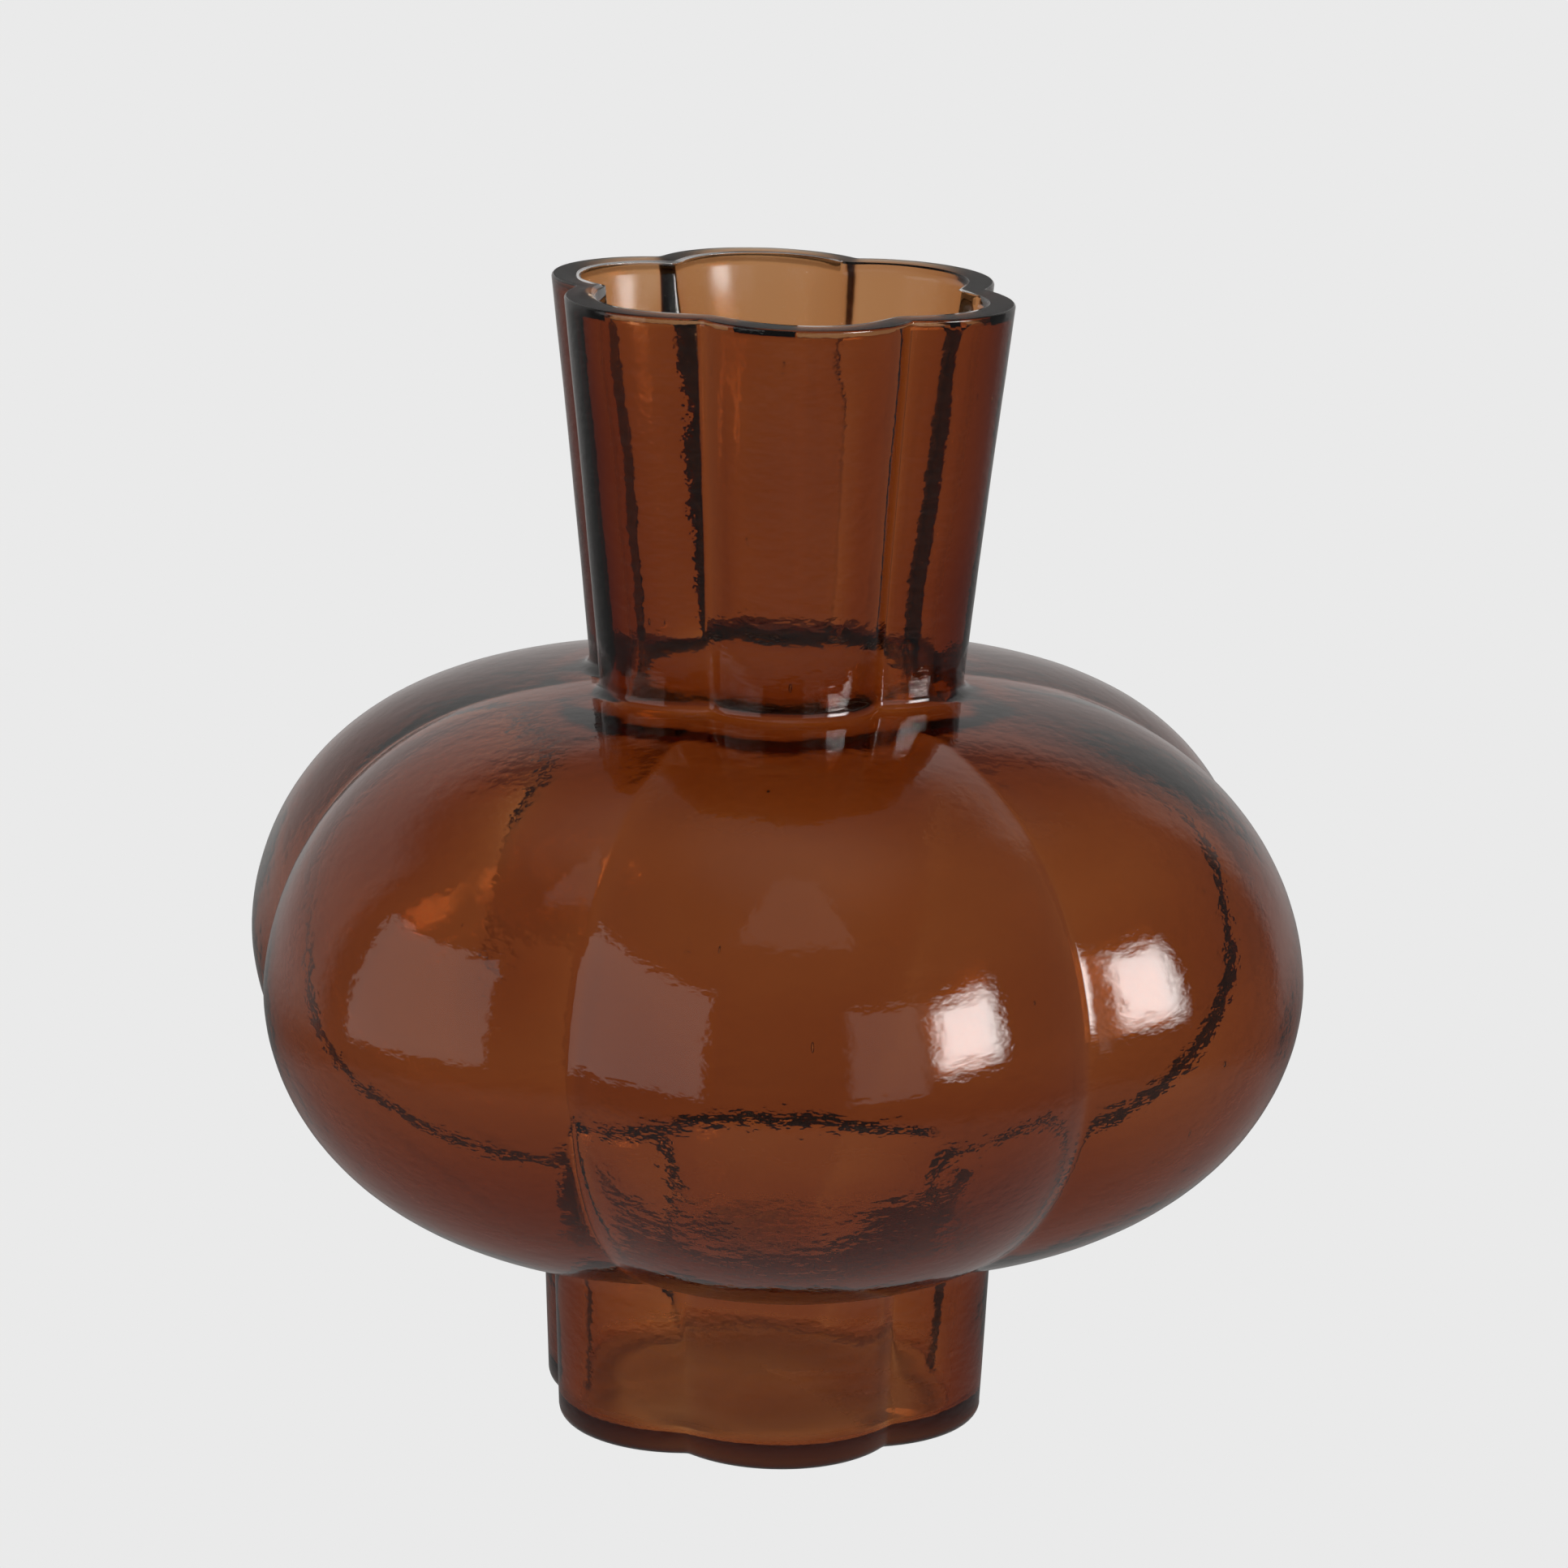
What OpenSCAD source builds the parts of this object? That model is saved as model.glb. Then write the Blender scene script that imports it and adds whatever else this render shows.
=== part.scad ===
// Lobed glass vase: one blown shell with a fluted neck, a wide six-lobed bulb and a
// fluted hollow foot. The glass is divided into named rings that meet face to face on
// level planes, at the places where its form changes. Units are millimetres, +Z is up,
// and the origin is the centre of the plane the vase rests on. One lobe faces -Y.

/* [Overall] */
// Height from the resting plane to the rim
height = 170; // [160:1:180]
// Lobes round the vase
lobes = 6; // [5:1:8]
// Thickness of the glass wall
wall = 3.9; // [3:0.1:4.4]

/* [Neck] */
// Width of the mouth over opposite lobes
mouth_d = 70; // [66:0.5:76]
// Width at the foot of the neck over opposite lobes
neck_d = 57.2; // [54:0.2:62]
// Height of the neck above the shoulder
neck_h = 58; // [48:1:64]

/* [Bulb] */
// Width of the bulb over opposite lobes
bulb_d = 161.4; // [146:0.2:176]
// Height of the widest line above the resting plane
bulb_z = 69.9; // [66:0.1:76]
// How deep the grooves between lobes are, as a share of the radius
bulb_lobe = 0.42; // [0.3:0.01:0.48]

/* [Foot] */
// Width of the foot over opposite lobes, where it joins the bulb
foot_d = 70; // [66:0.5:76]
// Height of the foot below the bulb
foot_h = 27.7; // [24:0.1:31]
// Thickness of the glass floor
floor_t = 3.5; // [3:0.5:5]

/* [Hidden] */
steps_per_lobe = 16;
count = lobes * steps_per_lobe;     // points round each ring
pitch = 360 / lobes;

neck_lobe = 0.522;                  // groove depth of the neck
foot_lobe = 0.461;                  // groove depth of the foot
neck_fillet = 1.8;                  // soft inner corner where the neck leaves the shoulder
foot_fillet = 1.4;                  // soft inner corner where the foot leaves the bulb
rim_round = 0.7;                    // polished edges of the rim
heel_round = 1.8;                   // rounded lower edge of the foot
rim_h = 4;                          // height of the rim ring
base_h = 8;                         // height of the base ring
foot_taper = 1.2;                   // how much narrower the foot is at the bottom

mouth_r = mouth_d / 2;
neck_r = neck_d / 2;
bulb_r = bulb_d / 2;
foot_r = foot_d / 2;

// The bulb's lobe profile is a pair of superellipse quarters that share the widest line.
shoulder_z = height - neck_h;                   // level where the shoulder meets the neck
up_p = 1.855;
up_q = 3.54;
up_h = (shoulder_z - bulb_z) / pow(1 - pow(neck_r / bulb_r, up_q), 1 / up_p);
low_p = 1.908;
low_q = 2.809;
low_h = (bulb_z - foot_h) / pow(1 - pow(foot_r / bulb_r, low_q), 1 / low_p);

neck_cut = shoulder_z + neck_fillet + 1;        // level between shoulder and neck
foot_cut = foot_h - foot_fillet - 1;            // level between bowl and foot

// Peak radius of the neck and of the foot at a height.
function neck_at(z) = neck_r + (mouth_r - neck_r) * pow((z - shoulder_z) / neck_h, 1.08);
function foot_at(z) = foot_r - foot_taper * (foot_h - z) / foot_h;

// Points of the lobe-peak profile as [radius, height, groove, angle of the outward normal].
function up_point(t) = [bulb_r * pow(cos(t), 2 / up_q), bulb_z + up_h * pow(sin(t), 2 / up_p)];
function low_point(t) = [bulb_r * pow(cos(t), 2 / low_q), bulb_z - low_h * pow(sin(t), 2 / low_p)];
function blend(a, b, s) = a + (b - a) * s * s * (3 - 2 * s);
function clamp01(s) = min(1, max(0, s));
function bulb_groove(r, end_r, end_k) =
    blend(end_k, bulb_lobe, clamp01((r - end_r) / (0.42 * (bulb_r - end_r))));

t_up = acos(pow((neck_r + neck_fillet) / bulb_r, up_q / 2));
t_low = acos(pow((foot_r + foot_fillet) / bulb_r, low_q / 2));
up_steps = 10;
low_steps = 9;

// Shoulder: the upper quarter from the widest line inwards, then the neck fillet.
shoulder_curve = [for (i = [0 : up_steps]) let (
        t = t_up * pow(i / up_steps, 0.9),
        p = up_point(t),
        a = up_point(max(0, t - 0.4)),
        b = up_point(t + 0.4))
    [p[0], p[1], bulb_groove(p[0], neck_r, neck_lobe),
     i == 0 ? 0 : atan2(a[0] - b[0], b[1] - a[1])]];
shoulder_end = shoulder_curve[up_steps];
neck_fillet_curve = [for (i = [1 : 3]) let (
        start = shoulder_end[3],
        g = start * (1 - i / 3),
        cx = shoulder_end[0] + neck_fillet * cos(start),
        cz = shoulder_end[1] + neck_fillet * sin(start))
    [cx - neck_fillet * cos(g), cz - neck_fillet * sin(g), neck_lobe, g]];
shoulder_profile = concat(shoulder_curve, neck_fillet_curve,
    [[neck_at(neck_cut), neck_cut, neck_lobe, 0]]);

// Bowl: the lower quarter, listed upwards from the foot fillet to the widest line.
bowl_curve = [for (i = [low_steps : -1 : 0]) let (
        t = t_low * pow(i / low_steps, 0.9),
        p = low_point(t),
        a = low_point(max(0, t - 0.4)),
        b = low_point(t + 0.4))
    [p[0], p[1], bulb_groove(p[0], foot_r, foot_lobe),
     i == 0 ? 0 : -atan2(a[0] - b[0], a[1] - b[1])]];
bowl_start = bowl_curve[0];
foot_fillet_curve = [for (i = [0 : 2]) let (
        g = bowl_start[3] * i / 3,
        cx = bowl_start[0] + foot_fillet * cos(bowl_start[3]),
        cz = bowl_start[1] + foot_fillet * sin(bowl_start[3]))
    [cx - foot_fillet * cos(g), cz - foot_fillet * sin(g), foot_lobe, g]];
bowl_profile = concat([[foot_at(foot_cut), foot_cut, foot_lobe, 0]],
    foot_fillet_curve, bowl_curve);

neck_profile = [for (i = [0 : 4]) let (z = neck_cut + (height - rim_h - neck_cut) * i / 4)
    [neck_at(z), z, neck_lobe, 0]];
foot_profile = [for (i = [0 : 3]) let (z = base_h + (foot_cut - base_h) * i / 3)
    [foot_at(z), z, foot_lobe, 0]];

// A ring of points round the axis. Each lobe is an arc of a circle whose centre is
// 'centre' out from the axis, so neighbouring lobes meet in a sharp groove.
function lobe_radius(a, r, centre) =
    centre * cos(a) + sqrt(pow(r - centre, 2) - pow(centre * sin(a), 2));
function ring(r, z, centre) = [for (i = [0 : count - 1]) let (
        turn = i * 360 / count,
        a = (turn + pitch / 2) % pitch - pitch / 2,
        rr = lobe_radius(a, r, centre))
    [rr * sin(turn), -rr * cos(turn), z]];

function outer_rings(profile) = [for (p = profile) ring(p[0], p[1], p[2] * p[0])];
// The inner face: the profile set back by the wall along its normal, on the same centres.
function inner_rings(profile, thickness) = [for (i = [len(profile) - 1 : -1 : 0]) let (p = profile[i])
    ring(p[0] - thickness * cos(p[3]), p[1] - thickness * sin(p[3]), p[2] * p[0])];

// Skin over a list of rings: closed on itself as a tube, or capped at both ends.
module skin(rings, tube) {
    n = len(rings);
    last = tube ? n - 1 : n - 2;
    points = [for (r = rings) for (p = r) p];
    sides = [for (k = [0 : last]) for (i = [0 : count - 1]) let (
            j = (i + 1) % count,
            a = k * count + i,
            b = k * count + j,
            c = ((k + 1) % n) * count + j,
            d = ((k + 1) % n) * count + i)
        each (i % steps_per_lobe < steps_per_lobe / 2
            ? [[a, d, b], [b, d, c]]
            : [[a, c, b], [a, d, c]])];
    caps = tube ? [] : [
        [for (i = [0 : count - 1]) i],
        [for (i = [count - 1 : -1 : 0]) (n - 1) * count + i]];
    polyhedron(points = points, faces = concat(sides, caps), convexity = 8);
}

module glass() {
    color("sienna") children();
}

// Flat-cut lip with both edges polished round.
module rim() {
    z0 = height - rim_h;
    c = neck_lobe * neck_at(height);
    c0 = neck_lobe * neck_at(z0);
    r = neck_at(height);
    e = rim_round;
    glass() skin([
        ring(neck_at(z0), z0, c0),
        ring(r - (r - neck_at(z0)) * e / rim_h, height - e, c),
        ring(r - 0.3 * e, height - 0.3 * e, c),
        ring(r - e, height, c),
        ring(r - wall + e, height, c),
        ring(r - wall + 0.3 * e, height - 0.3 * e, c),
        ring(r - wall, height - e, c),
        ring(neck_at(z0) - wall, z0, c0)], true);
}

// Fluted neck, widening to the mouth.
module neck() {
    glass() skin(concat(outer_rings(neck_profile), inner_rings(neck_profile, wall)), true);
}

// Upper half of the bulb, with the fillet up to the neck.
module shoulder() {
    glass() skin(concat(outer_rings(shoulder_profile), inner_rings(shoulder_profile, wall)), true);
}

// Lower half of the bulb, with the fillet down to the foot.
module bowl() {
    glass() skin(concat(outer_rings(bowl_profile), inner_rings(bowl_profile, wall)), true);
}

// Fluted hollow foot.
module foot() {
    glass() skin(concat(outer_rings(foot_profile), inner_rings(foot_profile, wall)), true);
}

// Closed bottom of the foot: rounded heel, narrow flat resting ring, push-up and a floor that rises over it.
module base() {
    r = foot_at(0);
    c = foot_lobe * r;
    h = heel_round;
    rt = foot_at(base_h);
    ct = foot_lobe * rt;
    ri = rt - wall;
    corner = min(base_h - floor_t + 1.5, 4);
    flat_r = r - h;
    push = 2.2;                         // height of the hollow under the foot
    ring_in = 0.87;                     // inner edge of the resting ring, as a share of its outer edge
    glass() skin([
        ring(0.25 * flat_r, push, 0.25 * foot_lobe * flat_r),
        ring(0.7 * flat_r, push * 0.9, 0.7 * foot_lobe * flat_r),
        ring(0.78 * flat_r, push * 0.5, 0.78 * foot_lobe * flat_r),
        ring(ring_in * flat_r, 0, ring_in * foot_lobe * flat_r),
        ring(flat_r, 0, c),
        ring(r - h * 0.5, h * 0.134, c),
        ring(r - h * 0.134, h * 0.5, c),
        ring(r, h, c),
        ring(rt, base_h, ct),
        ring(ri, base_h, ct),
        ring(ri - corner * 0.134, base_h - corner * 0.5, ct),
        ring(ri - corner * 0.5, base_h - corner * 0.866, ct),
        ring(ri - corner * 1.6, base_h - corner, ct * 0.9),
        ring(0.3 * ri, floor_t + 1.4, 0.3 * ct)], false);
}

rim();
neck();
shoulder();
bowl();
foot();
base();
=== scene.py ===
import bpy, math
import numpy as np
from mathutils import Matrix, Vector


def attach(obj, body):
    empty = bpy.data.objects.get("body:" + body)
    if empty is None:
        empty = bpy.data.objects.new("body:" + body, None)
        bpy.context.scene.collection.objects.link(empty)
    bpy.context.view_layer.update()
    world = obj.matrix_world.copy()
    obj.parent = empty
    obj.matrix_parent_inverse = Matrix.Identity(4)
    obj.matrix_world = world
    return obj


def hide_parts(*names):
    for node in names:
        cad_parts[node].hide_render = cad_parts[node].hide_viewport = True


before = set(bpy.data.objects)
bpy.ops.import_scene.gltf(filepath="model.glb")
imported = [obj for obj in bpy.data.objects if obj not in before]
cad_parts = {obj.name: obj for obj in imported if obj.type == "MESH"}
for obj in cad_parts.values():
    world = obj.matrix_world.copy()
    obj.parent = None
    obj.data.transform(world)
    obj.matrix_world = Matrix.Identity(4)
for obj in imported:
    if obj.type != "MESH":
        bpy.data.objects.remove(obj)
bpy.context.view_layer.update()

# ---------------------------------------------------------------- shape of the glass (mm, as in the CAD)
LOBES = 6
HALF = math.pi / LOBES
H = 170.0
WALL = 3.7
NECK_R, MOUTH_R, NECK_H = 28.6, 35.0, 58.0
BULB_R, BULB_Z = 80.7, 69.9
FOOT_R, FOOT_H, FOOT_TAPER = 35.0, 27.7, 1.2
K_NECK, K_BULB, K_FOOT = 0.522, 0.42, 0.461
UP_P, UP_Q, LOW_P, LOW_Q = 1.855, 3.54, 1.908, 2.809
SHOULDER_Z = H - NECK_H
UP_H = (SHOULDER_Z - BULB_Z) / (1 - (NECK_R / BULB_R) ** UP_Q) ** (1 / UP_P)
LOW_H = (BULB_Z - FOOT_H) / (1 - (FOOT_R / BULB_R) ** LOW_Q) ** (1 / LOW_P)
NECK_FILLET, FOOT_FILLET = 1.3, 1.4
HEEL = 1.8
RIM = 0.45
FLOOR_T = 3.0


def smooth01(s):
    s = np.clip(s, 0, 1)
    return s * s * (3 - 2 * s)


def neck_at(z):
    return NECK_R + (MOUTH_R - NECK_R) * (np.maximum(z - SHOULDER_Z, 0) / NECK_H) ** 1.08


def foot_at(z):
    return FOOT_R - FOOT_TAPER * (FOOT_H - z) / FOOT_H


def groove(r, end_r, end_k):
    return end_k + (K_BULB - end_k) * smooth01((r - end_r) / (0.42 * (BULB_R - end_r)))


def arc_resample(P, n, weight=None):
    """Points evenly spread along a polyline's length, or by a weight for each point."""
    d = np.r_[0, np.cumsum(np.linalg.norm(np.diff(P[:, :2], axis=0), axis=1))]
    if weight is not None:
        w = np.r_[0, np.cumsum(np.diff(d) * 0.5 * (weight[1:] + weight[:-1]))]
        d = w
    s = np.linspace(0, d[-1], n)
    return np.stack([np.interp(s, d, P[:, i]) for i in range(P.shape[1])], 1)


def outer_profile():
    """Lobe-peak profile from the foot's side up to the rim: radius, height, groove depth."""
    rows = []
    t_up = math.acos(((NECK_R + NECK_FILLET) / BULB_R) ** (UP_Q / 2))
    t_low = math.acos(((FOOT_R + FOOT_FILLET) / BULB_R) ** (LOW_Q / 2))
    # foot
    for z in np.linspace(HEEL, FOOT_H - FOOT_FILLET - 0.8, 40):
        rows.append((foot_at(z), z, K_FOOT))
    # foot fillet
    t = t_low
    r0, z0 = BULB_R * math.cos(t) ** (2 / LOW_Q), BULB_Z - LOW_H * math.sin(t) ** (2 / LOW_P)
    e = 1e-3
    ra, za = BULB_R * math.cos(t - e) ** (2 / LOW_Q), BULB_Z - LOW_H * math.sin(t - e) ** (2 / LOW_P)
    g1 = -math.atan2(ra - r0, za - z0)
    cx, cz = r0 + FOOT_FILLET * math.cos(g1), z0 + FOOT_FILLET * math.sin(g1)
    for i in range(0, 13):
        g = g1 * i / 12
        rows.append((cx - FOOT_FILLET * math.cos(g), cz - FOOT_FILLET * math.sin(g), K_FOOT))
    for t in np.linspace(t_low, 0, 160)[1:]:
        r = BULB_R * math.cos(t) ** (2 / LOW_Q)
        rows.append((r, BULB_Z - LOW_H * math.sin(t) ** (2 / LOW_P), groove(r, FOOT_R, K_FOOT)))
    for t in np.linspace(0, t_up, 160)[1:]:
        r = BULB_R * math.cos(t) ** (2 / UP_Q)
        rows.append((r, BULB_Z + UP_H * math.sin(t) ** (2 / UP_P), groove(r, NECK_R, K_NECK)))
    t = t_up
    r0, z0 = BULB_R * math.cos(t) ** (2 / UP_Q), BULB_Z + UP_H * math.sin(t) ** (2 / UP_P)
    ra, za = BULB_R * math.cos(t - e) ** (2 / UP_Q), BULB_Z + UP_H * math.sin(t - e) ** (2 / UP_P)
    g1 = math.atan2(ra - r0, z0 - za)
    cx, cz = r0 + NECK_FILLET * math.cos(g1), z0 + NECK_FILLET * math.sin(g1)
    for i in range(1, 17):
        g = g1 * (1 - i / 16)
        rows.append((cx - NECK_FILLET * math.cos(g), cz - NECK_FILLET * math.sin(g), K_NECK))
    for z in np.linspace(SHOULDER_Z + NECK_FILLET + 1, H - RIM, 60):
        rows.append((float(neck_at(z)), z, K_NECK))
    P = np.array(rows, float)
    # soften the joins of the pieces a little, as molten glass does
    P = arc_resample(P, 900)
    k = np.hanning(9); k /= k.sum()
    S = P.copy()
    for i in range(3):
        S[4:-4, i] = np.convolve(P[:, i], k, "valid")
    return S


def normals_of(P):
    T = np.gradient(P[:, :2], axis=0)
    N = np.stack([T[:, 1], -T[:, 0]], 1)
    return N / np.linalg.norm(N, axis=1)[:, None]


OUT = outer_profile()
ON = normals_of(OUT)

# Inner face: the wall set in along the normal, on the same lobe centres.
# The glass is thinner where it was blown furthest out.
thick = np.interp(OUT[:, 1], [0, 20, 40, 70, 92, 100, 106, 112, 113.5, 125, 145, 170], [3.8, 4.0, 4.2, 4.1, 4.2, 4.3, 4.35, 4.4, 4.45, 4.4, 4.3, 4.0])
thick -= 0.45 * smooth01((OUT[:, 0] - 46) / 30)
# a low ring of glass gathered inside the shoulder, just before the neck
thick += 0.30 * smooth01((36.4 - OUT[:, 0]) / 4.2) * smooth01((112.6 - OUT[:, 1]) / 1.0) * smooth01((OUT[:, 1] - 100) / 4)
IN = np.stack([OUT[:, 0] - thick * ON[:, 0], OUT[:, 1] - thick * ON[:, 1], OUT[:, 2] * OUT[:, 0]], 1)


OUTC = np.stack([OUT[:, 0], OUT[:, 1], OUT[:, 2] * OUT[:, 0]], 1)


def curvature_weight(P, gain=9.0):
    """More rings where the profile bends."""
    N = normals_of(P)
    a = np.unwrap(np.arctan2(N[:, 1], N[:, 0]))
    d = np.r_[1e-6, np.linalg.norm(np.diff(P[:, :2], axis=0), axis=1)]
    k = np.abs(np.gradient(a)) / np.maximum(d, 1e-4)
    span = max(3, int(3.0 / d[1:].mean()) | 1)
    k = np.convolve(k, np.ones(span) / span, "same")
    return 1 + gain * np.minimum(k, 0.6)


N_OUT, N_IN = 172, 128
GROOVE_THIN = 0.10                  # mm of glass missing behind each groove
outer = arc_resample(OUTC, N_OUT, curvature_weight(OUTC))
INNER_CORNER = 1.4                   # radius where the wall meets the floor inside
keep = IN[:, 1] > FLOOR_T + INNER_CORNER
inner = arc_resample(IN[keep], N_IN, curvature_weight(IN[keep]))

rings = []                          # radius, height, lobe centre, groove softness, waviness share
c0 = outer[0, 2]
r0 = outer[0, 0]
flat = r0 - HEEL


def add(r, z, c, soft, wav, side):
    rings.append((r, z, c, soft, wav, side))


# underside, from the middle out: push-up, narrow flat resting ring, rounded heel
PUSH, RING_IN = 2.2, 0.87
for s in (0.03, 0.1, 0.2, 0.3, 0.4, 0.5, 0.6, 0.7, 0.76, 0.79, 0.82, 0.85, 0.88, 0.91, 0.94, 0.97, 1.0):
    r = RING_IN * flat * s
    add(r, PUSH * (0.85 + 0.15 * math.cos(math.pi * s)) * float(1 - smooth01((s - 0.80) / 0.20)), K_FOOT * r * s, 1.2, 0.25, 0)
for s in (0.90, 0.94, 0.97, 1.0):
    add(flat * s, 0.0, K_FOOT * flat * s + (c0 - K_FOOT * flat) * s ** 6, 0.8, 0.0, 0)
for g in np.linspace(0, math.pi / 2, 9)[1:-1]:
    add(flat + HEEL * math.sin(g), HEEL * (1 - math.cos(g)), c0, 0.5, 0.1, 0)
for r, z, c in outer:
    add(r, z, c, 0.55, 1.0, 0)
# rim: both edges polished round
rc = outer[-1, 2]
r1 = outer[-1, 0]
for g in np.linspace(0, math.pi / 2, 7)[1:]:
    add(r1 - RIM * (1 - math.cos(g)), H - RIM + RIM * math.sin(g), rc, 0.55, 0.8, 0)
add(r1 - 2.0, H + 0.02, rc, 0.8, 0.6, 0)
ri = inner[-1, 0]
for g in np.linspace(math.pi / 2, 0, 7)[:-1]:
    add(ri + RIM * (1 - math.cos(g)), H - RIM + RIM * math.sin(g), rc, 1.6, 0.5, 1)
for r, z, c in inner[::-1]:
    add(r, z, c, -1.0, 1.0, 1)
# inside corner and floor
rb, zb_, cb = inner[0]
corner = zb_ - FLOOR_T
floor_z = FLOOR_T
for g in np.linspace(0, math.pi / 2, 10)[1:]:
    add(rb - corner * (1 - math.cos(g)), zb_ - corner * math.sin(g), cb * (1 - 0.12 * math.sin(g)), 3.5, 1.0, 1)
rf = rb - corner
for s in np.linspace(1, 0.03, 15)[1:]:
    add(rf * s, floor_z + 1.5 * float(1 - smooth01((s - 0.45) / 0.5)), cb * 0.88 * s * s, 1.5, 1.0, 1)
rings = np.array(rings, float)

# angles in one lobe, closer together near the grooves
PER = 44
u = np.linspace(-1, 1, PER + 1)[:-1]
ang = HALF * np.sign(u) * (1 - (1 - np.abs(u)) ** 1.35)
theta = np.concatenate([2 * HALF * i + ang for i in range(LOBES)])
local = np.tile(ang, LOBES)
NT = len(theta)


def lobe_radius(a, r, c, soft):
    """Radius of the lobed outline. The groove has a small round bottom of half-width soft."""
    delta = HALF - np.abs(a)
    e = np.minimum(soft / np.maximum(r, 4.0), 0.2)
    d2 = np.sqrt(delta ** 2 + e ** 2)
    d2 = d2 - (np.sqrt(HALF ** 2 + e ** 2) - HALF) * (delta / HALF)
    al = HALF - d2
    aa = np.maximum(r - c, 1e-3)
    return c * np.cos(al) + np.sqrt(np.maximum(aa ** 2 - (c * np.sin(al)) ** 2, 1e-6))


# The inner ridges are not equally crisp: softness in mm by height, for the ridge nearest each angle.
RIDGES = (                                   # angle, then softness at z = 5, 30, 60, 85, 105, 118, 140, 168 mm
    (30, (3.0, 2.0, 1.6, 1.6, 2.0, 3.0, 3.0, 3.0)),
    (90, (3.0, 1.2, 0.8, 0.8, 1.5, 2.0, 2.2, 2.2)),
    (150, (3.0, 1.5, 1.5, 2.5, 4.0, 3.0, 2.5, 1.5)),
    (210, (3.0, 1.2, 2.0, 8.0, 8.0, 1.4, 1.2, 1.2)),
    (270, (3.0, 1.2, 1.0, 2.5, 4.0, 2.2, 1.5, 1.5)),
    (330, (3.0, 2.0, 1.6, 1.6, 2.0, 3.0, 3.0, 3.0)),
)
soft = np.repeat(rings[:, 3:4], NT, 1)
deg = np.degrees(theta) % 360
for g_deg, vals in RIDGES:
    near = np.abs((deg - g_deg + 180) % 360 - 180) <= 30.001
    s_z = np.interp(rings[:, 1], [5, 30, 60, 85, 105, 118, 140, 168], vals)
    soft[:, near] = np.where(soft[:, near] < 0, s_z[:, None], soft[:, near])
R = lobe_radius(local[None, :], rings[:, 0:1], rings[:, 2:3], soft)
X = R * np.sin(theta)[None, :]
Y = -R * np.cos(theta)[None, :]
Z = np.repeat(rings[:, 1:2], NT, 1)
P = np.stack([X, Y, Z], -1)

# ---------------------------------------------------------------- hand-made unevenness
rng = np.random.RandomState(11)
perm = rng.permutation(256)
perm = np.concatenate([perm, perm, perm])
grads = rng.normal(size=(256, 3))
grads /= np.linalg.norm(grads, axis=1)[:, None]


def noise3(p):
    """Smooth gradient noise at points p (n x 3), about -1 to 1."""
    i = np.floor(p).astype(int)
    f = p - i
    w = f * f * f * (f * (f * 6 - 15) + 10)
    out = np.zeros(len(p))
    for dx in (0, 1):
        for dy in (0, 1):
            for dz in (0, 1):
                h = perm[perm[perm[(i[:, 0] + dx) & 255] + ((i[:, 1] + dy) & 255)] + ((i[:, 2] + dz) & 255)]
                g = grads[h]
                v = g[:, 0] * (f[:, 0] - dx) + g[:, 1] * (f[:, 1] - dy) + g[:, 2] * (f[:, 2] - dz)
                wt = (w[:, 0] if dx else 1 - w[:, 0]) * (w[:, 1] if dy else 1 - w[:, 1]) * (w[:, 2] if dz else 1 - w[:, 2])
                out += v * wt
    return out * 1.6


def grid_normals(P):
    dr = np.gradient(P, axis=0)
    dt = (np.roll(P, -1, 1) - np.roll(P, 1, 1)) * 0.5
    n = np.cross(dt, dr)
    return n / np.maximum(np.linalg.norm(n, axis=2), 1e-9)[..., None]


N = grid_normals(P)
side = rings[:, 5][:, None] * np.ones(NT)[None]
flatP = P.reshape(-1, 3)
ripple_out = 0.075 * noise3(flatP / 26.0) + 0.022 * noise3(flatP / 9.0 + 7) + 0.014 * noise3(flatP / 4.6 + 91)
ripple_in = 0.26 * noise3(flatP / 24.0 + 31) + 0.08 * noise3(flatP / 9.5 + 53) + 0.008 * noise3(flatP / 5.5 + 71)
calm = smooth01((flatP[:, 2] - 84) / 12) * smooth01((122 - flatP[:, 2]) / 8)
ripple_in *= (1 - 0.6 * calm) * (1 + 0.8 * smooth01((30 - flatP[:, 2]) / 6))
amount = np.where(side.reshape(-1) > 0.5, ripple_in, ripple_out).reshape(P.shape[:2]) * rings[:, 4:5]
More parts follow.
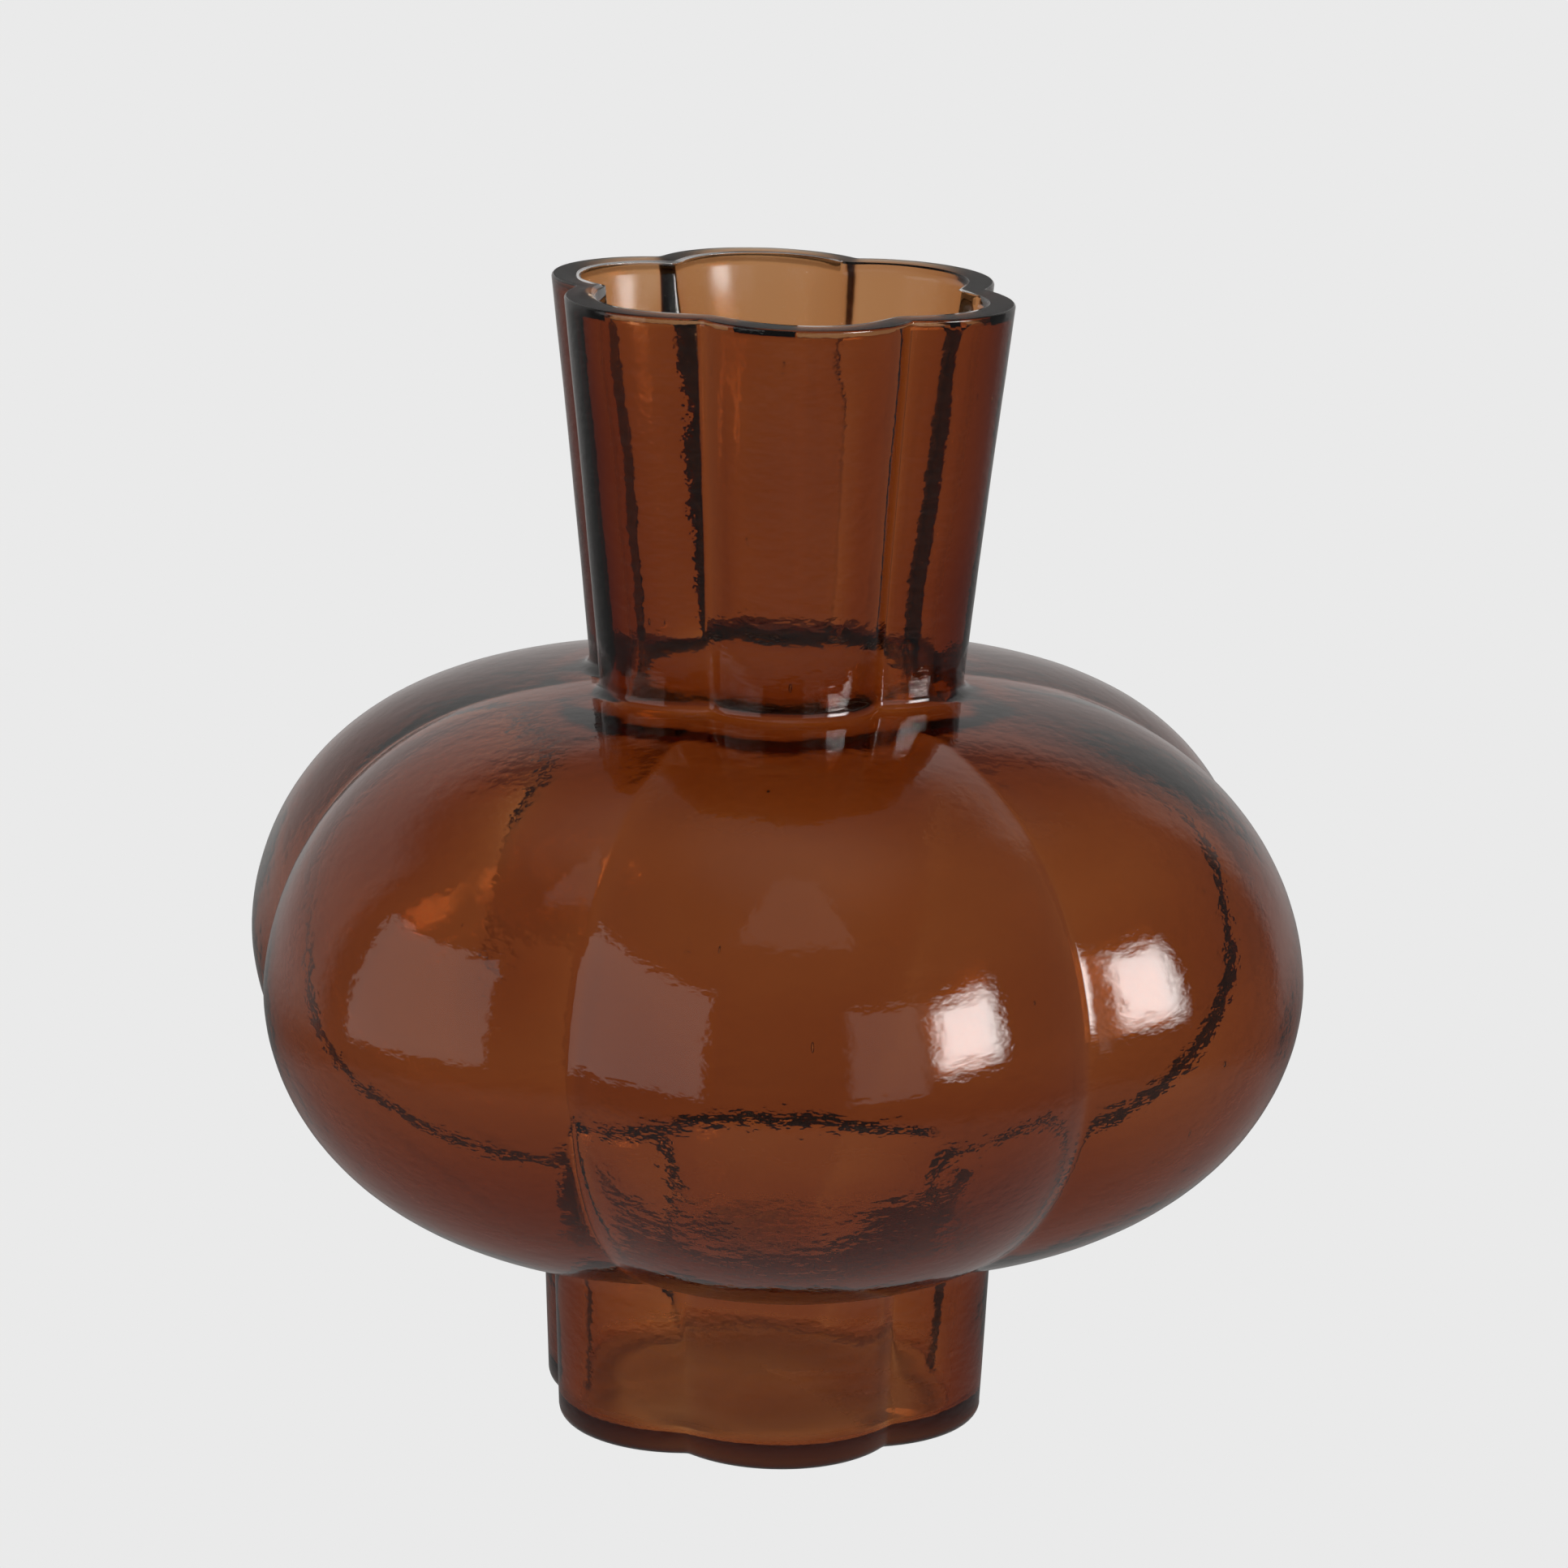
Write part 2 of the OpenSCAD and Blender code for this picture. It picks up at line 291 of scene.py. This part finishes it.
# the gather of glass was uneven: thinner on two sides of the bulb, thicker low down in front and at one side of the neck
# (on the inner face the normal points into the vase, so a positive amount is more glass)
wide = smooth01((rings[:, 0:1] - 50) / 25) * (rings[:, 5:6] > 0.5)
gr = np.exp(-((HALF - np.abs(local[None, :])) * rings[:, 0:1] / 3.2) ** 2) * (rings[:, 5:6] > 0.5)
low_front = np.exp(-((rings[:, 1:2] - 50) / 10.0) ** 2) * (rings[:, 5:6] > 0.5) * np.clip(np.cos(theta[None, :] + math.radians(8.0)), 0, 1) ** 2
inner_side = rings[:, 5:6] > 0.5
facing = np.clip(np.cos(theta[None, :] + math.radians(8.0)), 0, 1) ** 2
deg360 = np.degrees(theta[None, :]) % 360
patches = inner_side * (facing * (0.4 * np.exp(-((rings[:, 1:2] - 82) / 9.0) ** 2) - 0.5 * np.exp(-((rings[:, 1:2] - 101) / 6.0) ** 2) * smooth01((110 - rings[:, 1:2]) / 4))
                        + 1.2 * np.exp(-((deg360 - 322) / 7.5) ** 2) * np.exp(-((rings[:, 1:2] - 83) / 14.0) ** 2)
                        + 0.7 * np.exp(-((deg360 - 300) / 12.0) ** 2) * np.exp(-((rings[:, 1:2] - 95) / 8.0) ** 2)
                        - 0.5 * np.exp(-((deg360 - 55) / 18.0) ** 2) * np.exp(-((rings[:, 1:2] - 98) / 8.0) ** 2)
                        - 0.35 * np.exp(-((rings[:, 1:2] - 45) / 12.0) ** 2) * np.sin(theta[None, :] + math.radians(8.0)) ** 2)
neck_foot = 1.1 * np.exp(-((rings[:, 1:2] - 116) / 4.0) ** 2) * inner_side * np.clip(np.cos(theta[None, :] + math.radians(8.0)), 0, 1) ** 2
uneven = noise3(flatP / 7.0 + 17).reshape(P.shape[:2])
back_ridge = np.exp(-(np.radians(deg360 - 212.5) * rings[:, 0:1] / 3.1) ** 2)
back_ridge = back_ridge * (0.95 + 0.55 * uneven) * smooth01((rings[:, 1:2] - 113) / 5) * smooth01((168 - rings[:, 1:2]) / 12) * inner_side
ring_noise = 0.13 * uneven * np.exp(-((rings[:, 0:1] - 31) / 5.0) ** 2) * smooth01((rings[:, 1:2] - 98) / 4) * smooth01((113 - rings[:, 1:2]) / 2) * inner_side
back_ridge = back_ridge + ring_noise
left_neck = np.exp(-(((np.degrees(theta[None, :]) % 360) - 280) / 10.0) ** 2) * smooth01((rings[:, 1:2] - 113) / 6) * (rings[:, 5:6] > 0.5)
neck_thin = -0.3 * inner_side * smooth01((rings[:, 1:2] - 118) / 10) * smooth01((165 - rings[:, 1:2]) / 8) * (np.exp(-((deg360 - 11) / 5.5) ** 2) + np.exp(-((deg360 - 342) / 5.5) ** 2))
mouth_flare = -0.5 * inner_side * smooth01((rings[:, 1:2] - 158) / 11) * (np.exp(-((deg360 - 212) / 24.0) ** 2) + 0.7 * np.exp(-((deg360 - 255) / 16.0) ** 2))
amount = amount + mouth_flare - 0.12 * wide * np.sin(theta[None, :] + math.radians(8.0)) ** 2 + 1.1 * low_front + patches + 0.9 * left_neck + neck_foot + back_ridge + neck_thin - GROOVE_THIN * gr
P = P + N * amount[..., None]
# the rim was cut by hand and sits a little out of level
xc = P[..., 0] * math.cos(math.radians(8.08)) - P[..., 1] * math.sin(math.radians(8.08)) * -1
P[..., 2] -= (0.2 + 0.0165 * xc) * smooth01((P[..., 2] - 125) / 45)
# keep the resting ring flat
P[..., 2] = np.where((rings[:, 5:6] < 0.5) & (P[..., 2] < 0.02), np.maximum(P[..., 2], 0.0), P[..., 2])

nr = len(rings)
verts = np.concatenate([P.reshape(-1, 3), [[0, 0, P[0, :, 2].mean()]], [[0, 0, P[-1, :, 2].mean()]]])
idx = np.arange(nr * NT).reshape(nr, NT)
a = idx[:-1]
b = np.roll(idx, -1, 1)[:-1]
c = np.roll(idx, -1, 1)[1:]
d = idx[1:]
quads = np.stack([a, b, c, d], -1).reshape(-1, 4)
j = np.arange(NT)
jn = (j + 1) % NT
fan0 = np.stack([np.full(NT, nr * NT), idx[0, jn], idx[0, j]], -1)
fan1 = np.stack([np.full(NT, nr * NT + 1), idx[-1, j], idx[-1, jn]], -1)

# ---------------------------------------------------------------- seeds: small closed bubbles inside the wall
bub_v, bub_f = [], []
nv = len(verts)
RS, SG = 7, 10
outer_rows = np.where((rings[:, 5] < 0.5) & (rings[:, 1] > 30) & (rings[:, 1] < 160))[0]
Nn = grid_normals(P)
made = 0
while made < 46:
    rr = outer_rows[rng.randint(len(outer_rows))]
    tt = rng.randint(NT)
    if HALF - abs(local[tt]) < math.radians(5):
        continue
    base = P[rr, tt]
    n = Nn[rr, tt]
    size = 0.10 + 0.28 * rng.rand() ** 2.2
    depth = 0.9 + 1.7 * rng.rand()
    ctr = base - n * depth
    up = np.array([0, 0, 1.0]) - n * n[2]
    up = up / max(np.linalg.norm(up), 1e-6)
    sd = np.cross(up, n)
    stretch = 1.2 + 1.8 * rng.rand()
    base_i = nv
    pts = [ctr + up * size * stretch]
    for i in range(1, RS):
        ph = math.pi * i / RS
        for s in range(SG):
            q = 2 * math.pi * s / SG
            pts.append(ctr + up * size * stretch * math.cos(ph) + (sd * math.cos(q) + n * math.sin(q)) * size * math.sin(ph) * (0.75 if True else 1))
    pts.append(ctr - up * size * stretch)
    pts = np.array(pts)
    fs = []
    for s in range(SG):
        fs.append((0, 1 + s, 1 + (s + 1) % SG))
        for i in range(RS - 2):
            p0 = 1 + i * SG
            p1 = p0 + SG
            fs.append((p0 + s, p1 + s, p1 + (s + 1) % SG, p0 + (s + 1) % SG))
        p0 = 1 + (RS - 2) * SG
        fs.append((len(pts) - 1, p0 + (s + 1) % SG, p0 + s))
    # normals face the bubble's inside, which is outside the glass
    vol = 0.0
    for f in fs:
        q = pts[list(f)] - ctr
        for m in range(1, len(f) - 1):
            vol += np.dot(q[0], np.cross(q[m], q[m + 1]))
    if vol > 0:
        fs = [tuple(reversed(f)) for f in fs]
    bub_v.append(pts)
    bub_f += [tuple(base_i + v for v in f) for f in fs]
    nv += len(pts)
    made += 1

all_v = np.concatenate([verts] + bub_v) * 0.001
faces = [tuple(map(int, f)) for f in quads] + [tuple(map(int, f)) for f in fan0] + [tuple(map(int, f)) for f in fan1] + [tuple(map(int, f)) for f in bub_f]
me = bpy.data.meshes.new("vase_glass")
me.from_pydata([tuple(v) for v in all_v], [], faces)
me.validate()
me.update()
for p in me.polygons:
    p.use_smooth = True
# outward normals
import bmesh
bm = bmesh.new(); bm.from_mesh(me)
vol = bm.calc_volume(signed=True)
bm.free()
if vol < 0:
    me.flip_normals()
print("glass volume cm3", abs(vol) * 1e6, "faces", len(me.polygons))
vase = bpy.data.objects.new("vase_glass", me)
bpy.context.scene.collection.objects.link(vase)

# ---------------------------------------------------------------- glass material
SIGMA = np.array([200.0, 388.0, 610.0])     # absorption per metre
DENS = 660.0
FINE_RIPPLE = 0.000052                # metres, the fine unevenness of the surface
INSIDE_RIPPLE = 0.15


# Surface finish, as point values: how rough the face is, and how much of the fine outer ripple it carries.
rough = np.zeros((nr, NT))
fine = np.where(rings[:, 5:6] > 0.5, INSIDE_RIPPLE, 1.0) * np.ones((1, NT))
rough[(rings[:, 5:6] < 0.5) & (rings[:, 1:2] < 2.5) & (rings[:, 0:1] < 0.88 * flat) & np.ones((1, NT), bool)] = 0.6      # matt underside
rough[(np.abs(P[..., 2]) < 0.05) & (rings[:, 0:1] > 0.88 * flat) & (rings[:, 0:1] < flat + 0.01)] = 0.9          # ground resting ring
top_rows = (rings[:, 1] > H - 0.02) & (rings[:, 0] > ri)
corner_in = (rings[:, 5:6] > 0.5) & (rings[:, 1:2] < FLOOR_T + INNER_CORNER + 0.8)
rough = np.where(corner_in, 0.34 * (1 - 0.85 * np.exp(-(((deg360 - 52) / 20.0) ** 2))), rough)      # dull inside corner
back_half = smooth01((0.1 - np.cos(theta[None, :] + math.radians(8.0))) / 0.4)
rough = np.maximum(rough, 0.22 * inner_side * back_half * smooth01((rings[:, 1:2] - 150) / 8))      # the mouth's inside is a little dull
rough[top_rows] = 0.55                                                            # cut and smoothed rim
fine[(rings[:, 1] < 2) | top_rows] = 0.5
for nm, grid in (("finish_rough", rough), ("finish_fine", fine)):
    at = me.attributes.new(nm, "FLOAT", "POINT")
    vals = np.zeros(len(me.vertices), np.float32)
    vals[:nr * NT] = grid.reshape(-1)
    at.data.foreach_set("value", vals)

m = bpy.data.materials.new("amber_glass")
m.use_nodes = True
t = m.node_tree
t.nodes.clear()
o = t.nodes.new("ShaderNodeOutputMaterial")
p = t.nodes.new("ShaderNodeBsdfPrincipled")
p.inputs["Base Color"].default_value = (1, 1, 1, 1)
p.inputs["IOR"].default_value = 1.5
p.inputs["Transmission Weight"].default_value = 1.0
t.links.new(p.outputs[0], o.inputs["Surface"])
v = t.nodes.new("ShaderNodeVolumeAbsorption")
v.inputs["Color"].default_value = tuple(1 - SIGMA / DENS) + (1,)
v.inputs["Density"].default_value = DENS
t.links.new(v.outputs[0], o.inputs["Volume"])
ar = t.nodes.new("ShaderNodeAttribute")
ar.attribute_name = "finish_rough"
t.links.new(ar.outputs["Fac"], p.inputs["Roughness"])
af = t.nodes.new("ShaderNodeAttribute")
af.attribute_name = "finish_fine"
tc = t.nodes.new("ShaderNodeTexCoord")
mp = t.nodes.new("ShaderNodeMapping")
mp.inputs["Scale"].default_value = (1.0, 1.0, 1.7)
n1 = t.nodes.new("ShaderNodeTexNoise")
n1.inputs["Scale"].default_value = 420.0
n1.inputs["Detail"].default_value = 2.0
n1.inputs["Roughness"].default_value = 0.5
mul = t.nodes.new("ShaderNodeMath")
mul.operation = "MULTIPLY"
bp = t.nodes.new("ShaderNodeBump")
bp.inputs["Strength"].default_value = 1.0
bp.inputs["Distance"].default_value = FINE_RIPPLE
t.links.new(tc.outputs["Object"], mp.inputs["Vector"])
t.links.new(mp.outputs["Vector"], n1.inputs["Vector"])
t.links.new(n1.outputs["Fac"], mul.inputs[0])
t.links.new(af.outputs["Fac"], mul.inputs[1])
t.links.new(mul.outputs[0], bp.inputs["Height"])
t.links.new(bp.outputs["Normal"], p.inputs["Normal"])
me.materials.append(m)

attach(vase, "root")
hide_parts("rim", "neck", "shoulder", "bowl", "foot", "base")

# ---------------------------------------------------------------- stage
BG = 0.823


def emission(name, colour, strength):
    m = bpy.data.materials.new(name)
    m.use_nodes = True
    t = m.node_tree
    t.nodes.clear()
    o = t.nodes.new("ShaderNodeOutputMaterial")
    e = t.nodes.new("ShaderNodeEmission")
    e.inputs["Color"].default_value = (*colour, 1)
    e.inputs["Strength"].default_value = strength
    t.links.new(e.outputs[0], o.inputs["Surface"])
    return m


def card(name, corners, material, camera=False, glossy=True, transmission=False, diffuse=False):
    m = bpy.data.meshes.new(name)
    m.from_pydata([Vector(v) for v in corners], [], [tuple(range(len(corners)))])
    m.materials.append(material)
    o = bpy.data.objects.new(name, m)
    bpy.context.scene.collection.objects.link(o)
    o.visible_camera = camera
    o.visible_glossy = glossy
    o.visible_transmission = transmission
    o.visible_diffuse = diffuse
    o.visible_shadow = False
    o.visible_volume_scatter = False
    return o


pale = emission("pale_floor", (BG, BG, BG), 1.0)
S = 30.0
floor = card("floor", [(-S, -S, -0.0002), (S, -S, -0.0002), (S, S, -0.0002), (-S, S, -0.0002)], pale, camera=True, glossy=False, transmission=True)


def polar(az, el, dist, z0=0.08):
    a, e = math.radians(az), math.radians(el)
    return (dist * math.cos(e) * math.sin(a), -dist * math.cos(e) * math.cos(a), z0 + dist * math.sin(e))


def panel(name, az0, az1, el0, el1, dist, strength, colour=(1, 1, 1)):
    """Flat light card seen from the vase between two bearings and two heights."""
    a = 0.5 * (az0 + az1)
    hw = math.tan(math.radians(0.5 * (az1 - az0))) * dist
    ca, sa = math.cos(math.radians(a)), math.sin(math.radians(a))
    cx, cy = dist * sa, -dist * ca
    tx, ty = ca, sa
    z_lo = 0.08 + dist * math.tan(math.radians(el0))
    z_hi = 0.08 + dist * math.tan(math.radians(el1))
    m = emission(name, colour, strength)
    return card(name, [(cx - tx * hw, cy - ty * hw, z_lo), (cx + tx * hw, cy + ty * hw, z_lo), (cx + tx * hw, cy + ty * hw, z_hi), (cx - tx * hw, cy - ty * hw, z_hi)], m)


world = bpy.data.worlds.new("studio")
bpy.context.scene.world = world
world.use_nodes = True
wt = world.node_tree
wt.nodes.clear()
wo = wt.nodes.new("ShaderNodeOutputWorld")


def wn(op, a, b=None, clamp=False):
    """A math node over sockets or numbers."""
    n = wt.nodes.new("ShaderNodeMath")
    n.operation = op
    n.use_clamp = clamp
    for i, v in enumerate((a, b)):
        if v is None:
            continue
        if isinstance(v, (int, float)):
            n.inputs[i].default_value = v
        else:
            wt.links.new(v, n.inputs[i])
    return n.outputs[0]


def ramp(x, lo, hi):
    n = wt.nodes.new("ShaderNodeMapRange")
    n.interpolation_type = "SMOOTHSTEP"
    n.clamp = True
    wt.links.new(x, n.inputs["Value"])
    n.inputs["From Min"].default_value = lo
    n.inputs["From Max"].default_value = hi
    n.inputs["To Min"].default_value = 0
    n.inputs["To Max"].default_value = 1
    return n.outputs["Result"]


def band(x, lo, hi, soft_lo, soft_hi=None):
    soft_hi = soft_lo if soft_hi is None else soft_hi
    up = ramp(x, lo - soft_lo, lo + soft_lo)
    dn = ramp(x, hi - soft_hi, hi + soft_hi)
    return wn("MULTIPLY", up, wn("SUBTRACT", 1.0, dn))


def bell(x, mid, width):
    d = wn("DIVIDE", wn("SUBTRACT", x, mid), width)
    return wn("POWER", 2.718281828, wn("MULTIPLY", wn("MULTIPLY", d, d), -0.5))


geo = wt.nodes.new("ShaderNodeTexCoord")
sep = wt.nodes.new("ShaderNodeSeparateXYZ")
wt.links.new(geo.outputs["Generated"], sep.inputs[0])
DX, DY, DZ = sep.outputs
AZ = wn("MULTIPLY", wn("ARCTAN2", DX, wn("MULTIPLY", DY, -1.0)), 180 / math.pi)
ELV = wn("MULTIPLY", wn("ARCSINE", DZ), 180 / math.pi)
AAZ = wn("ABSOLUTE", AZ)

parts = []


def light(mask, strength):
    parts.append(wn("MULTIPLY", mask, strength))


AZB = wn("ADD", AZ, wn("MULTIPLY", wn("LESS_THAN", AZ, 0.0), 360.0))    # 0..360, 180 behind the vase


def lay(mask, value):
    """Lay one soft-edged light or surface over the ones before it."""
    global L
    n = wt.nodes.new("ShaderNodeMath")
    n.operation = "MULTIPLY_ADD"
    wt.links.new(wn("SUBTRACT", value, L), n.inputs[0])
    wt.links.new(mask, n.inputs[1])
    wt.links.new(L, n.inputs[2])
    L = n.outputs[0]


def add_light(mask, value):
    global L
    L = wn("ADD", L, wn("MULTIPLY", mask, value))


def dist_to(az, el):
    """Angle in degrees from one direction."""
    a, e = math.radians(az), math.radians(el)
    c = (math.cos(e) * math.sin(a), -math.cos(e) * math.cos(a), math.sin(e))
    d = wn("ADD", wn("ADD", wn("MULTIPLY", DX, c[0]), wn("MULTIPLY", DY, c[1])), wn("MULTIPLY", DZ, c[2]))
    return wn("MULTIPLY", wn("ARCCOSINE", d), 180 / math.pi)


def soft_box(az, a0, a1, sa, e0, e1, se):
    return wn("MULTIPLY", band(az, a0, a1, sa), band(ELV, e0, e1, se))


# dim room
L = wn("ADD", 0.15, wn("MULTIPLY", ramp(ELV, 55, 85), 0.2))
# pale table top
lay(wn("SUBTRACT", 1.0, ramp(ELV, -28, -20)), 0.28)
# backdrop
lay(soft_box(AZB, 121, 248, 6, -12, 40, 8), 0.5)
# large soft box on the left
lay(soft_box(AZ, -98, -42, 1.5, -11, 30, 1.5), 1.1)
# large soft box overhead
lay(soft_box(AZ, -41, 19, 2.5, 53.5, 84, 2.5), 0.5)
# fill soft box in front, then the key soft box on the right
lay(soft_box(AZ, 9, 36, 3, -9, 28, 1.5), 0.8)
add_light(soft_box(AZ, 41, 65, 5, 0, 23, 5), 16.0)
room = L

mix = wt.nodes.new("ShaderNodeMixShader")
lp = wt.nodes.new("ShaderNodeLightPath")
b1 = wt.nodes.new("ShaderNodeBackground")
b2 = wt.nodes.new("ShaderNodeBackground")
b1.inputs["Color"].default_value = (1, 1, 1, 1)
# Through the glass: the backdrop straight behind, the room further round.
through = wn("ADD", BG, wn("MULTIPLY", ramp(dist_to(172, -15), 95, 135), wn("SUBTRACT", wn("ADD", wn("MULTIPLY", room, 0.8), 0.1), BG)))
cam_ray = lp.outputs["Is Camera Ray"]
seen = wn("ADD", through, wn("MULTIPLY", cam_ray, wn("SUBTRACT", BG, through)))
wt.links.new(seen, b1.inputs["Strength"])
b2.inputs["Color"].default_value = (1.0, 0.97, 0.95, 1)
wt.links.new(room, b2.inputs["Strength"])
wt.links.new(lp.outputs["Is Glossy Ray"], mix.inputs[0])
wt.links.new(b1.outputs[0], mix.inputs[1])
wt.links.new(b2.outputs[0], mix.inputs[2])
wt.links.new(mix.outputs[0], wo.inputs["Surface"])
world.cycles.sampling_method = "NONE"

# ---------------------------------------------------------------- camera
PHI, EL, ROLL = math.radians(8.0805), math.radians(14.8671), math.radians(1.0243)
DIST = 0.5160395 * 1.7
X0, Z0 = 0.92813 * 1.7e-3, 56.16705 * 1.7e-3


def to_vase(v):
    x, y, z = v
    return Vector((x * math.cos(PHI) + y * math.sin(PHI), -x * math.sin(PHI) + y * math.cos(PHI), z))


fwd = Vector((0, math.cos(EL), -math.sin(EL)))
right = Vector((1, 0, 0))
upv = Vector((0, math.sin(EL), math.cos(EL)))
right2 = right * math.cos(ROLL) + upv * math.sin(ROLL)
up2 = upv * math.cos(ROLL) - right * math.sin(ROLL)
pos = to_vase(Vector((X0, 0, Z0)) - fwd * DIST)
rx, ux, fz = to_vase(right2), to_vase(up2), to_vase(-fwd)
cam = bpy.data.cameras.new("camera")
cam.sensor_width = 36
cam.lens = 36 * 7310.8 / 1932
cam.clip_start = 0.01
cam.clip_end = 100
co = bpy.data.objects.new("camera", cam)
bpy.context.scene.collection.objects.link(co)
co.matrix_world = Matrix(((rx[0], ux[0], fz[0], pos[0]), (rx[1], ux[1], fz[1], pos[1]), (rx[2], ux[2], fz[2], pos[2]), (0, 0, 0, 1)))
bpy.context.scene.camera = co

sc = bpy.context.scene
sc.view_settings.view_transform = "Standard"
sc.view_settings.look = "None"
cy = sc.cycles
cy.max_bounces = 32
cy.transmission_bounces = 32
cy.glossy_bounces = 16
cy.diffuse_bounces = 2
cy.volume_bounces = 0
cy.transparent_max_bounces = 8
cy.caustics_reflective = True
cy.caustics_refractive = True
cy.blur_glossy = 0.0
cy.sample_clamp_indirect = 12.0
cy.use_denoising = True
cy.denoiser = "OPENIMAGEDENOISE"
cy.denoising_input_passes = "RGB_ALBEDO_NORMAL"
